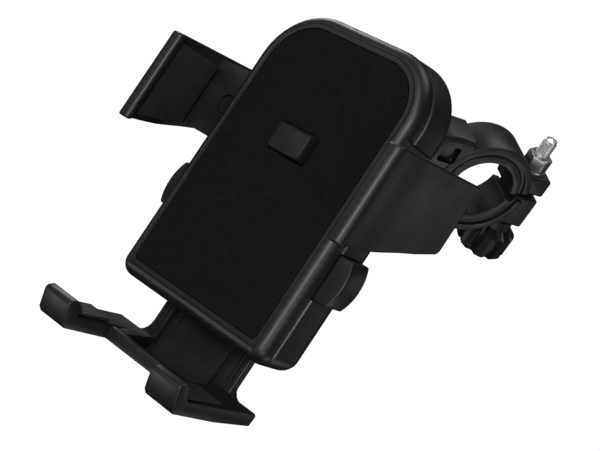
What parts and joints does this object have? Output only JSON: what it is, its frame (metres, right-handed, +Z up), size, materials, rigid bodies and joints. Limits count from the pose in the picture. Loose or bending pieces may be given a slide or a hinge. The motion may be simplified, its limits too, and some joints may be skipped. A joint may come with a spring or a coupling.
{
  "type": "phone handlebar mount",
  "caption": "Black phone holder with spring arms, sliding foot, ball joint and a hinged handlebar clamp with thumb knob.",
  "frame": {"origin": "centre of the handlebar bore in the clamp ring", "axes": "+X right across the phone face, -Y out of the phone face towards the rider, +Z up along the phone; the bar runs mainly along +X, dropping and turning with the ball joint's rest angle"},
  "size_m": [0.1094, 0.1226, 0.1403],
  "materials": {
    "black_plastic": "fine-grained satin black moulding",
    "black_rubber": "soft matt rubber",
    "pad_foam": "very dark grainy foam rubber",
    "trigger_plastic": "satin dark grey moulding",
    "zinc_steel": "bright zinc plate",
    "spring_steel": "drawn spring wire",
    "nylon": "natural nylon"
  },
  "bodies": {
    "handlebar_side": {"clamp_body": "black_plastic", "upper_liner": "black_rubber", "hinge_pin": "zinc_steel", "hex_nut": "zinc_steel", "washer": "zinc_steel"},
    "lower_jaw": {"clamp_lower_jaw": "black_plastic", "lower_liner": "black_rubber"},
    "screw": {"thumb_knob": "black_plastic", "clamp_screw": "zinc_steel"},
    "tilt_link": {"ball_friction_ring": "nylon"},
    "pan_link": {"socket_cup": "nylon"},
    "cradle_head": {"face_pad": "pad_foam", "front_shell": "black_plastic", "rear_shell": "black_plastic", "case_screw_1": "zinc_steel", "case_screw_2": "zinc_steel", "case_screw_3": "zinc_steel", "case_screw_4": "zinc_steel", "channel_cover": "black_plastic", "latch_plate": "spring_steel", "pinion_pin": "zinc_steel", "foot_detent_leaf": "spring_steel", "trigger_spring": "spring_steel", "left_arm_spring": "spring_steel", "right_arm_spring": "spring_steel", "left_button_spring": "spring_steel", "right_button_spring": "spring_steel"},
    "ring_nut": {"socket_ring_nut": "black_plastic"},
    "left_arm_group": {"left_arm": "black_plastic", "left_jaw_pad": "black_rubber"},
    "right_arm_group": {"right_arm": "black_plastic", "right_jaw_pad": "black_rubber"},
    "pinion": {"pinion_gear": "nylon"},
    "trigger": {"trigger_button": "trigger_plastic"},
    "left_button": {"left_release_button": "black_plastic"},
    "right_button": {"right_release_button": "black_plastic"},
    "foot": {"foot_slider": "black_plastic", "left_foot_pad": "black_rubber", "right_foot_pad": "black_rubber"}
  },
  "joints": [
    {"name": "lower_jaw_hinge", "type": "hinge", "parent": "handlebar_side", "child": "lower_jaw", "pos_m": [-0.0094, -0.01367, -0.01331], "axis": [0.8739, -0.151, -0.462], "range_deg": [0, 2.2]},
    {"name": "clamp_screw_turn", "type": "hinge", "parent": "handlebar_side", "child": "screw", "pos_m": [-0.00141, 0.02464, -0.01072], "axis": [0.3621, -0.4317, 0.8261], "continuous": true},
    {"name": "head_tilt", "type": "hinge", "parent": "handlebar_side", "child": "tilt_link", "pos_m": [-0.01452, -0.03984, -0.01445], "axis": [1, 0, 0], "range_deg": [-2, 38]},
    {"name": "head_pan", "type": "hinge", "parent": "tilt_link", "child": "pan_link", "pos_m": [-0.01452, -0.03984, -0.01445], "axis": [0, 0, 1], "range_deg": [-38, 2]},
    {"name": "head_swivel", "type": "hinge", "parent": "pan_link", "child": "cradle_head", "pos_m": [-0.01452, -0.03984, -0.01445], "axis": [0, 1, 0], "continuous": true},
    {"name": "ring_nut_turn", "type": "hinge", "parent": "cradle_head", "child": "ring_nut", "pos_m": [-0.01452, -0.03984, -0.01445], "axis": [0, 1, 0], "range_deg": [-90, 0]},
    {"name": "left_arm_slide", "type": "slide", "parent": "cradle_head", "child": "left_arm_group", "axis": [1, 0, 0], "range_m": [0, 0.015], "deforming": ["left_arm_spring"]},
    {"name": "right_arm_slide", "type": "slide", "parent": "cradle_head", "child": "right_arm_group", "axis": [-1, 0, 0], "range_m": [0, 0.015], "deforming": ["right_arm_spring"]},
    {"name": "pinion_spin", "type": "hinge", "parent": "cradle_head", "child": "pinion", "pos_m": [-0.01452, -0.05724, -0.0265], "axis": [0, 1, 0], "range_deg": [0, 138]},
    {"name": "trigger_press", "type": "slide", "parent": "cradle_head", "child": "trigger", "axis": [0, 1, 0], "range_m": [0, 0.0018], "stiffness_N_per_m": 400, "springref_m": -0.0005, "deforming": ["trigger_spring"]},
    {"name": "left_button_press", "type": "slide", "parent": "cradle_head", "child": "left_button", "axis": [1, 0, 0], "range_m": [0, 0.002], "stiffness_N_per_m": 400, "springref_m": -0.0005, "deforming": ["left_button_spring"]},
    {"name": "right_button_press", "type": "slide", "parent": "cradle_head", "child": "right_button", "axis": [-1, 0, 0], "range_m": [0, 0.002], "stiffness_N_per_m": 400, "springref_m": -0.0005, "deforming": ["right_button_spring"]},
    {"name": "foot_slide", "type": "slide", "parent": "cradle_head", "child": "foot", "axis": [0, 0, 1], "range_m": [-0.01, 0.008]}
  ],
  "couplings": [
    {"joint": "right_arm_slide", "follows": "left_arm_slide", "ratio": 1},
    {"joint": "pinion_spin", "follows": "left_arm_slide", "rad_per_m": 160}
  ]
}
